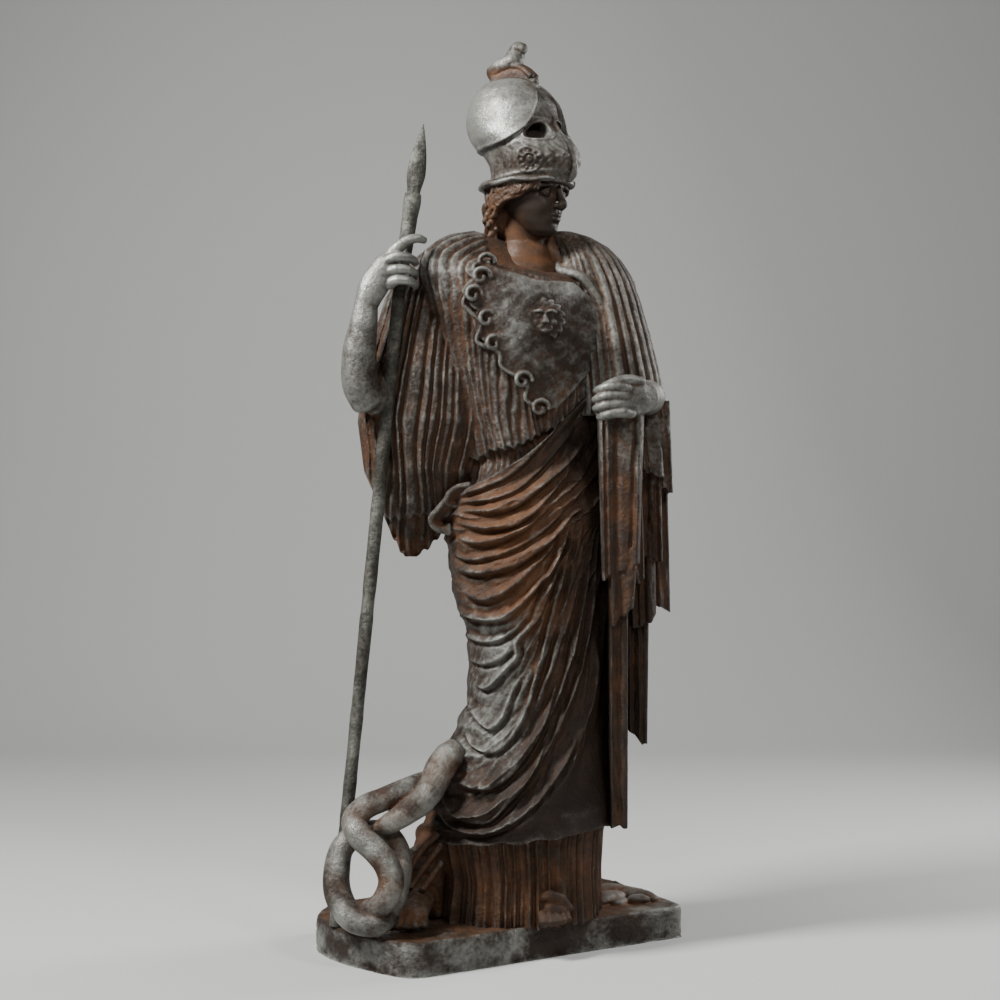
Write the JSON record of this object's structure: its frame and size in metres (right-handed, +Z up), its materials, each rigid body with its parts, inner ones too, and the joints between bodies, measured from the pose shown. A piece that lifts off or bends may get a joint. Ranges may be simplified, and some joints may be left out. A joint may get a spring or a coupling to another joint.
{
  "type": "standing statue",
  "caption": "Standing robed goddess with pushed-back helmet, a spear in the raised right hand and a coiled snake, on a low plinth.",
  "frame": {"origin": "middle of the object's bounding box on the plinth's underside", "axes": "+Z up, the plinth's long front edge faces -Y, the spear and the snake are on the -X side"},
  "size_m": [0.9148, 0.6378, 2.2392],
  "materials": {
    "stone": "weathered marble with brown patina and grey worn crests",
    "spear": "dark weathered rod with grey worn edges"
  },
  "bodies": {
    "root": {"statue": "stone", "spear": "spear"}
  },
  "joints": []
}
